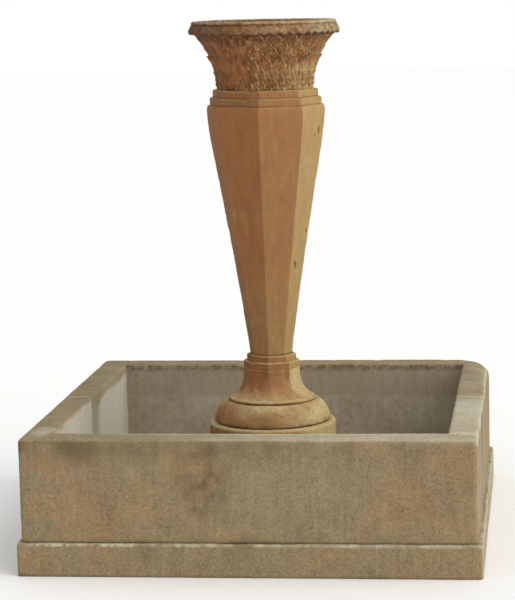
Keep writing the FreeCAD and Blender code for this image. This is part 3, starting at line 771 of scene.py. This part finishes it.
# ---------------------------------------------------------------------------
# The shaft: a tall octagonal taper, hollowed a little towards its foot, with a
# rounded shoulder at the top. Small elongated pits are left by air bubbles.
low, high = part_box("shaft")
tall, widest = high.z - low.z, high.x
fractions = np.array([0, 0.05, 0.21, 0.413, 0.61, 0.81, 0.89, 0.935, 0.965])
radii = np.array([0.362, 0.384, 0.481, 0.615, 0.759, 0.907, 0.962, 0.986, 0.998]) * widest
heights = np.linspace(0, 0.965, 140)
taper = np.interp(heights, fractions, radii)
kernel = np.hanning(15) / np.hanning(15).sum()
padded = np.concatenate([taper[0] - (taper[7:0:-1] - taper[0]), taper, 2 * taper[-1] - taper[-2:-9:-1]])
taper = np.convolve(padded, kernel, "valid")
side = [(r, low.z + f * tall) for r, f in zip(taper, heights)]
side += [(widest * 0.9995, low.z + 0.978 * tall), (widest * 0.994, low.z + 0.989 * tall),
         (widest * 0.982, low.z + 0.9965 * tall), (widest * 0.962, high.z)]
outline = np.vstack([(hub, low.z), resample(side, 0.006), (hub, high.z)])
rows = octagonal_rows(outline, 0.0035)
points, quads = ring_skin(rows)
on_arris = np.tile(np.r_[np.ones(corner_points), np.zeros(face_points)], 8 * len(outline))
shoulder = smooth(outline[:, 1], high.z - 0.015, high.z - 0.004)
edge = np.clip(on_arris * 0.8 + np.repeat(shoulder, octagon_points), 0, 1)
points, normal = weathered(points, quads, 87, edge)


def on_shaft(degrees, height):
    """Place on the shaft's surface, turned from the front towards +X."""
    a = radians(degrees)
    face = radians(45 * round((degrees - 22.5) / 45) + 22.5)
    r = np.interp((height - low.z) / tall, fractions, radii) * cos(pi / 8) / cos(a - face)
    return np.array([r * sin(a), -r * cos(a), height])


pits = [  # turn in degrees, height, half width, half length, depth
    (80.5, 1.139, 0.0060, 0.013, 0.006), (71.0, 1.128, 0.0045, 0.005, 0.003),
    (84.0, 0.853, 0.0055, 0.007, 0.004), (61.0, 0.757, 0.0060, 0.009, 0.005),
    (58.0, 0.768, 0.0045, 0.005, 0.002)]
pit_dark = np.zeros(len(points))
for degrees, height, wide, long, deep in pits:
    away = (points - on_shaft(degrees, height)) / np.array([wide, wide, long])
    near = np.clip(1 - (away ** 2).sum(axis=1), 0, 1)
    points = points - normal * (deep * near)[:, None]
    pit_dark = np.maximum(pit_dark, near ** 0.5)
tone = column_tone(points, normal)
# The arrises are paler with wear; the rounded shoulder, turned up to the light, is paler with wear and a
# painted highlight.
tone[:, 0] += 0.30 * edge * (rough(points, 0.05, 91) * 0.5 + 0.5)
lower_part = 1 - smooth(points[:, 2], 0.55, 0.95)
# Painted light on the lower shaft, by facing: palest on faces turned to the front, a little on those turned
# right, hardly on those turned left.
tone[:, 0] += lower_part * (0.42 * smooth(normal[:, 0], -1.2, 0.2) - 0.30 * smooth(normal[:, 0], 0.5, 0.9))
tone[:, 1] -= 0.35 * lower_part
tone[:, 0] += 0.30 * smooth(stretched(points, 1, 0.4, 0.016, 88), 0.40, 0.85)
tone[:, 2] += 1.2 * pit_dark + 0.08 * lower_part
make_piece("shaft", points, capped(quads, octagon_points), tone, shaft_stone, "shaft_stone", "shaft")

# ---------------------------------------------------------------------------
# The capital: a flared core covered with rows of overlapping pointed leaves,
# each row shifted half a leaf against the next so that their raised edges run
# as crossing diagonals. It was cast with the neck and is worn on its left.
low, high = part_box("capital_core")
neck_top, core_foot, core_tall = low.z, 0.1325, high.z - low.z
core_flare = high.x - core_foot
core_arc = (core_tall ** 2 + core_flare ** 2) / (2 * core_flare)


def core_radius(up):
    """Radius of the capital's core at a height above the neck."""
    return core_foot + core_arc - np.sqrt(core_arc ** 2 - np.clip(up, 0, core_arc) ** 2)


capital_stone = stone_material(
    "capital_stone", Body=(0.350, 0.160, 0.058), Bleached=(0.47, 0.32, 0.145), Rusty=(0.275, 0.100, 0.032),
    Grimy=(0.100, 0.044, 0.016), Limed=(0.45, 0.39, 0.235), Grain_Size=0.0022, Grain_Contrast=0.8,
    Mottle=0.4, Raggedness=0.5)

levels = np.linspace(0, core_tall, 34)
outline = [(hub, neck_top)] + [(core_radius(up) + 0.0005, neck_top + up) for up in levels] + [(hub, high.z)]
points, faces, normal = worn_solid(turned_rows(resample(outline, 0.006), 144), 93)
tone = column_tone(points, normal)
# Painted shade: the core shows only in the gaps between the leaves, and is painted darker all over.
tone[:, 2] += 0.4
make_piece("capital_core", points, faces, tone, capital_stone, "capital_stone", "capital_core")


def leaf_mesh(name, tip_up, drop, half_turn, proud, rib, across, along):
    """One leaf, its tip at a height above the neck, pointing up and to the front.

    Its edges and midrib stand up, and slanting veins run out from the midrib."""
    u, v = np.meshgrid(np.linspace(-1, 1, across), np.linspace(0, 1, along) ** 1.25, indexing="ij")
    length = 2.1  # in drops
    depth = v * length
    width = np.maximum(np.clip(depth, 0, 1) ** 0.78, 0.03)
    turn = u * width * half_turn * 1.02
    up = tip_up - depth * drop
    edge = np.abs(u)
    border_ridge = np.exp(-((edge - 0.91) / 0.12) ** 2) * np.where(u > 0, 1.0, 0.7)
    midrib = np.exp(-(u / 0.10) ** 2)
    veins = (0.5 + 0.5 * np.cos(2 * pi * (depth * 1.5 + edge * width * 2.9))) ** 1.4
    veins = veins * smooth(edge, 0.08, 0.22) * (1 - smooth(edge, 0.72, 0.88))
    ridge = border_ridge + 0.4 * midrib + 0.85 * veins
    lift = proud * (1.05 - 0.40 * depth) + rib * ridge * smooth(length - depth, 0, 0.4)
    lift -= rib * 0.55 * (1 - edge) * smooth(edge, 0, 0.3)
    lean = np.arcsin(np.clip(up, 0, core_tall) / core_arc)

    def place(off):
        """Points of the leaf's grid at a distance off the core."""
        r = core_radius(up) + off * np.cos(lean)
        z = neck_top + up - off * np.sin(lean)
        return np.stack([r * np.sin(turn), -r * np.cos(turn), z], axis=-1).reshape(-1, 3)

    under = place(np.full_like(lift, -0.0015))[border(across, along)]
    points, faces = closed_below(place(np.maximum(lift, 0.0004)), across, along, under, (0, -1, 0))
    mesh = bpy.data.meshes.new(name)
    mesh.from_pydata(points.tolist(), [], faces)
    # rise marks the ridges and veins that get a painted highlight, and hollow the places between them that
    # get painted shade.
    risen = border_ridge + 0.25 * midrib + 0.45 * veins - 0.1
    for key, values in (("hollow", 0.95 - ridge), ("rise", risen)):
        padded = np.r_[values.ravel(), np.zeros(len(under))]
        mesh.attributes.new(key, "FLOAT", "POINT").data.foreach_set("value", np.clip(padded, 0, 1))
    return mesh


def row_of_leaves_tree():
    """Copies of the object's own mesh turned round the Z axis, made real."""
    tree = bpy.data.node_groups.new("row_of_leaves", "GeometryNodeTree")
    face = tree.interface
    face.new_socket("Leaf", in_out="INPUT", socket_type="NodeSocketGeometry")
    face.new_socket("Count", in_out="INPUT", socket_type="NodeSocketInt")
    face.new_socket("First Turn", in_out="INPUT", socket_type="NodeSocketFloat")
    face.new_socket("Stone", in_out="INPUT", socket_type="NodeSocketMaterial")
    face.new_socket("Row", in_out="OUTPUT", socket_type="NodeSocketGeometry")
    given = tree.nodes.new("NodeGroupInput")
    result = tree.nodes.new("NodeGroupOutput")
    stack = tree.nodes.new("GeometryNodeMeshLine")
    stack.inputs["Offset"].default_value = (0, 0, 0)
    index = tree.nodes.new("GeometryNodeInputIndex")
    step = tree.nodes.new("ShaderNodeMath")
    step.operation = "DIVIDE"
    step.inputs[0].default_value = 2 * pi
    turn = tree.nodes.new("ShaderNodeMath")
    turn.operation = "MULTIPLY_ADD"
    around = tree.nodes.new("ShaderNodeCombineXYZ")
    copies = tree.nodes.new("GeometryNodeInstanceOnPoints")
    real = tree.nodes.new("GeometryNodeRealizeInstances")
    coat = tree.nodes.new("GeometryNodeSetMaterial")
    link = tree.links.new
    link(given.outputs["Count"], stack.inputs["Count"])
    link(given.outputs["Count"], step.inputs[1])
    link(index.outputs[0], turn.inputs[0])
    link(step.outputs[0], turn.inputs[1])
    link(given.outputs["First Turn"], turn.inputs[2])
    link(turn.outputs[0], around.inputs["Z"])
    link(stack.outputs[0], copies.inputs["Points"])
    link(given.outputs["Leaf"], copies.inputs["Instance"])
    link(around.outputs[0], copies.inputs["Rotation"])
    link(copies.outputs[0], real.inputs[0])
    link(real.outputs[0], coat.inputs["Geometry"])
    link(given.outputs["Stone"], coat.inputs["Material"])
    link(coat.outputs[0], result.inputs["Row"])
    return tree


row_of_leaves = row_of_leaves_tree()


def repeated(name, mesh, count, first_turn, material):
    """Plain mesh of count copies of a leaf round the column."""
    holder = bpy.data.objects.new(name, mesh)
    scene.collection.objects.link(holder)
    pattern = holder.modifiers.new("row", "NODES")
    pattern.node_group = row_of_leaves
    inputs = [item for item in row_of_leaves.interface.items_tree if item.in_out == "INPUT"]
    sockets = {item.name: item.identifier for item in inputs}
    pattern[sockets["Count"]] = count
    pattern[sockets["First Turn"]] = first_turn
    pattern[sockets["Stone"]] = material
    graph = bpy.context.evaluated_depsgraph_get()
    made = bpy.data.meshes.new_from_object(holder.evaluated_get(graph))
    bpy.data.objects.remove(holder)
    return made


leaves_around = 24
half_turn = pi / leaves_around
leaf_rows = [  # tip above the neck, drop to the next row's tips, how proud, carving depth, tier
    (0.1640, 0.0200, 0.0026, 0.0026, "upper"), (0.1475, 0.0245, 0.0030, 0.0028, "upper"),
    (0.1225, 0.0245, 0.0036, 0.0028, "upper"), (0.0980, 0.0240, 0.0072, 0.0028, "middle"),
    (0.0740, 0.0225, 0.0044, 0.0030, "middle"), (0.0515, 0.0190, 0.0046, 0.0032, "lower"),
    (0.0325, 0.0150, 0.0048, 0.0034, "lower"), (0.0175, 0.0105, 0.0048, 0.0034, "lower")]
chipped_spots = [  # across from the middle, height above the neck, half width, half height
    (-0.022, 0.136, 0.006, 0.0030), (-0.016, 0.091, 0.007, 0.0040), (-0.028, 0.062, 0.005, 0.0045),
    (-0.006, 0.044, 0.004, 0.0090), (-0.020, 0.016, 0.006, 0.0060), (-0.002, 0.116, 0.009, 0.0025)]
tiers = {"upper": [], "middle": [], "lower": []}
for number, (tip_up, drop, proud, carving, tier) in enumerate(leaf_rows):
    across, along = (19, 27) if tip_up > 0.04 else (17, 17)
    leaf = leaf_mesh("leaf_%d" % number, tip_up, drop, half_turn, proud, carving, across, along)
    shifted = half_turn * (number % 2)
    tiers[tier].append(repeated("row_%d" % number, leaf, leaves_around, shifted, capital_stone))


def joined(meshes):
    """Points, faces, hollows and rises of several meshes as one."""
    points, faces, hollow, rise = [], [], [], []
    for mesh in meshes:
        base, count = sum(len(p) for p in points), len(mesh.vertices)
        co = np.empty(count * 3)
        mesh.vertices.foreach_get("co", co)
        points.append(co.reshape(-1, 3))
        faces += [[base + i for i in face.vertices] for face in mesh.polygons]
        for key, store in (("hollow", hollow), ("rise", rise)):
            store.append(np.empty(count))
            mesh.attributes[key].data.foreach_get("value", store[-1])
    return np.vstack(points), faces, np.concatenate(hollow), np.concatenate(rise)


for tier, made in tiers.items():
    points, faces, hollow, rise = joined(made)
    quads = np.array([face for face in faces if len(face) == 4])
    turn = np.arctan2(points[:, 0], -points[:, 1])
    flat = np.hypot(points[:, 0], points[:, 1])
    core = core_radius(points[:, 2] - neck_top)
    worn = 0.66 * smooth(-turn, -0.05, 0.35) * (1 - smooth(-turn, 1.1, 1.4))
    worn = np.clip(worn + 0.30 * smooth(rough(points, 0.04, 97), 0.0, 0.7), 0, 0.78)
    kept = core + 0.0012 + (flat - core - 0.0012) * (1 - worn)
    chiselled = stretched(points, 1, 0.25, 0.006, 96)
    left = smooth(-turn, -0.05, 0.3) * (1 - smooth(-turn, 2.2, 2.8))
    kept += 0.0006 * rough(points, 0.009, 98) + (0.0004 + 0.0008 * left) * chiselled
    points[:, :2] *= np.where(flat > core, kept / flat, 1)[:, None]
    points, normal = weathered(points, quads, 101, amount=0.5)

    tone = column_tone(points, normal)
    streaks = stretched(points, 1, 0.3, 0.008, 99) + 0.7 * chiselled
    low_leaves = 1 - smooth(points[:, 2], neck_top + 0.03, neck_top + 0.06)
    right = smooth(points[:, 0], -0.05, 0.04)
    tone[:, 0] *= 0.32 + 0.68 * (1 - smooth(points[:, 2], neck_top + 0.02, neck_top + 0.09))
    # Painted highlight: ridges and veins are painted paler, most on the right, where the light falls, and
    # on the lowest leaves.
    tone[:, 0] += (0.95 + 0.35 * low_leaves) * rise * (0.22 + 0.78 * right) + 0.20 * streaks - 0.06
    # Painted shade: the hollows between ridges are painted darker, more on the right half and most on the
    # lowest leaves.
    tone[:, 0] -= 0.35 * hollow * low_leaves
    tone[:, 1] += 0.16 * streaks
    tone[:, 2] += 0.34 * hollow * (0.5 + 0.5 * smooth(turn, -0.3, 0.2)) - 0.20 * streaks
    tone[:, 2] += 0.12 * rough(points, 0.02, 100) + 0.25 * hollow * low_leaves
    # Painted shade: the left side, away from the light, is painted darker, most towards the far left.
    tone[:, 2] += left * (0.12 - 0.24 * streaks) + 0.12 * left * smooth(-turn, 0.7, 1.3)
    for x, up, wide, tall in chipped_spots:
        spot = stain(points, (x, -core_radius(up), neck_top + up), (wide, 0.03, tall), 94)
        tone[:, 0] += 0.9 * spot * (0.7 + 0.5 * rough(points, 0.004, 95))
        tone[:, 2] -= 0.4 * spot
    make_piece(tier + "_leaves", points, faces, tone, capital_stone, "capital_stone", tier + "_leaf_tier")

# ---------------------------------------------------------------------------
# The rim over the leaves: a flat lip with a groove under it, a bevelled face
# carved with leaf tips, and a scalloped lower edge, cast with the capital.
low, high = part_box("capital_rim")
widest, inside = high.x, 0.176
around = leaves_around * 24
turn = (np.arange(around) + 0.5) * 2 * pi / around
leaf_tip = 1 - np.abs(np.sin(turn * leaves_around))
uneven = 0.8 + 0.2 * np.cos(turn * leaves_around)
crisp = 0.18 + 0.82 * smooth(turn - 2 * pi * (turn > pi), -0.25, 0.35)
section = [  # radius, height, how carved, how worn, how much painted shade
    (0.190, low.z + 0.001, 0, 0, 0.6), (widest - 0.012, low.z - 0.001, 0.6, 1, 0.4),
    (widest - 0.003, low.z, 1, 1, 0), (widest, low.z + 0.0035, 1, 1, 0),
    (widest + 0.0002, low.z + 0.0075, 0.8, 1, 0), (widest - 0.001, low.z + 0.011, 0.5, 0.6, 0),
    (widest - 0.0035, low.z + 0.016, 0.35, 0.3, 0), (widest - 0.0062, low.z + 0.021, 0.25, 0.2, 0),
    (widest - 0.0084, low.z + 0.0262, 0.1, 0.2, 0.4), (widest - 0.0100, low.z + 0.0272, 0, 0, 1),
    (widest - 0.0100, low.z + 0.0285, 0, 0.5, 0.4), (widest - 0.0090, low.z + 0.030, 0, 1, 0),
    (widest - 0.0094, low.z + 0.033, 0, 1, 0), (widest - 0.0120, high.z - 0.0012, 0, 1, 0),
    (widest - 0.0150, high.z, 0, 0.6, 0), (widest - 0.024, high.z, 0, 0.1, 0),
    (inside + 0.008, high.z, 0, 0.3, 0), (inside + 0.003, high.z - 0.001, 0, 0.5, 0),
    (inside + 0.0006, high.z - 0.004, 0, 0.2, 0.2), (inside, high.z - 0.010, 0, 0, 0.5),
    (inside, low.z + 0.001, 0, 0, 0.8)]
rows = []
for radius, height, carved, _, _ in section:
    drop = -0.0052 * carved * (leaf_tip - 0.36) * uneven * crisp * (height < low.z + 0.006)
    proud = 0.0012 * carved ** 4 * (leaf_tip - 0.45) * uneven * crisp
    r = radius + proud - 0.0010 * carved
    rows.append(np.stack([r * np.sin(turn), -r * np.cos(turn), height + drop], axis=1))
points, quads = ring_skin(np.array(rows), loop=True)
carving, edge, groove = (np.repeat([row[k] for row in section], around) for k in (2, 3, 4))
points, normal = weathered(points, quads, 105, edge)
chased = 0.5 * stretched(points, 0.6, 1.5, 0.0065, 106) + 0.6 * rough(points, 0.0035, 102)
points += normal * (0.0010 * np.clip(carving * 3, 0, 1) * chased)[:, None]
tone = column_tone(points, normal)
lip = smooth(points[:, 2], high.z - 0.010, high.z - 0.003)
between_tips = np.tile(crisp * smooth(0.45 - leaf_tip, 0.05, 0.45), len(section))
# Painted highlight: the chased strokes are painted paler where they stand out; the lip and the worn edges
# are paler too.
tone[:, 0] += 0.42 * chased - 0.10 * (1 - lip) + 0.12 * lip + 0.20 * edge
tone[:, 1] -= 0.7 + 0.2 * lip
# Painted shade: darker where the chased strokes sink and in the hollows between the leaf tips.
tone[:, 2] += 0.40 - 0.36 * chased - 0.20 * lip + 0.12 * carving ** 3 * between_tips
# Painted shade: the rim's left side, away from the light, is painted darker.
tone[:, 2] += 0.10 * smooth(-points[:, 0], -0.05, 0.1) + 0.10 * smooth(-points[:, 0], -0.08, 0.12)
# Painted shade under the rim, in the groove and on its inner face, lighter on the right.
tone[:, 2] += 0.7 * groove * (1 - 0.6 * smooth(points[:, 0], -0.02, 0.1))
limed = (0.26 + 0.20 * lip) * (1 + rough(points, 0.03, 108)) + 0.22 * smooth(points[:, 0], -0.02, 0.2)
tone = np.column_stack([tone, limed])
make_piece("capital_rim", points, quads.tolist(), tone, capital_stone, "capital_stone",
           "capital_rim", "rim_leaf_tips")

# ---------------------------------------------------------------------------
# The shallow dish inside the rim, a thin slab of the capital's stone, dipping
# towards the water outlet, a plain brass pipe that has gone green in places.
low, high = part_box("top_dish")
pipe_low, pipe_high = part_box("outlet_pipe")
bore, dip = pipe_high.x, 0.008
outline = [(bore, low.z), (inside, low.z), (inside, high.z - 0.001), (inside - 0.002, high.z)]
outline += [(r, high.z - dip * (1 - (r / inside) ** 2)) for r in np.linspace(inside - 0.012, bore, 16)]
points, quads = ring_skin(turned_rows(resample(outline, 0.008), 96), loop=True)
points, normal = weathered(points, quads, 109, amount=0.8)
tone = column_tone(points, normal)
tone[:, 0] += 0.25 * rough(points, 0.05, 110)
tone[:, 2] += 0.35 * smooth(rough(points, 0.07, 111), -0.2, 0.6)
make_piece("top_dish", points, quads.tolist(), tone, capital_stone, "capital_stone", "top_dish")

brass = bpy.data.materials.new("outlet_brass")
brass.use_nodes = True
tree = brass.node_tree
shader = tree.nodes["Principled BSDF"]
place = add_node(tree, "TexCoord").outputs["Object"]
bloom = add_node(tree, "TexNoise", Vector=place, Scale=90.0, Detail=4.0, Roughness=0.6)
green = add_node(tree, "MapRange", Value=bloom.outputs[0], From_Min=0.45, From_Max=0.62).outputs[0]
color = blend_color(tree, green, (0.42, 0.27, 0.10, 1), (0.10, 0.17, 0.12, 1))
tree.links.new(color, shader.inputs["Base Color"])
tree.links.new(math_node(tree, "SUBTRACT", 0.95, green, clamp=True), shader.inputs["Metallic"])
tree.links.new(math_node(tree, "MULTIPLY_ADD", green, 0.4, 0.38), shader.inputs["Roughness"])
wall, outside = 0.003, bore - 0.0002
outline = [(bore - wall, pipe_low.z), (outside, pipe_low.z), (outside, pipe_high.z - 0.006),
           (outside, pipe_high.z - 0.0015), (outside - 0.001, pipe_high.z),
           (bore - wall + 0.001, pipe_high.z), (bore - wall, pipe_high.z - 0.001)]
points, quads = ring_skin(turned_rows(resample(outline, 0.006), 40), loop=True)
no_tone = np.zeros((len(points), 3))
make_piece("outlet_pipe", points, quads.tolist(), no_tone, brass, "outlet_brass", "outlet_pipe")
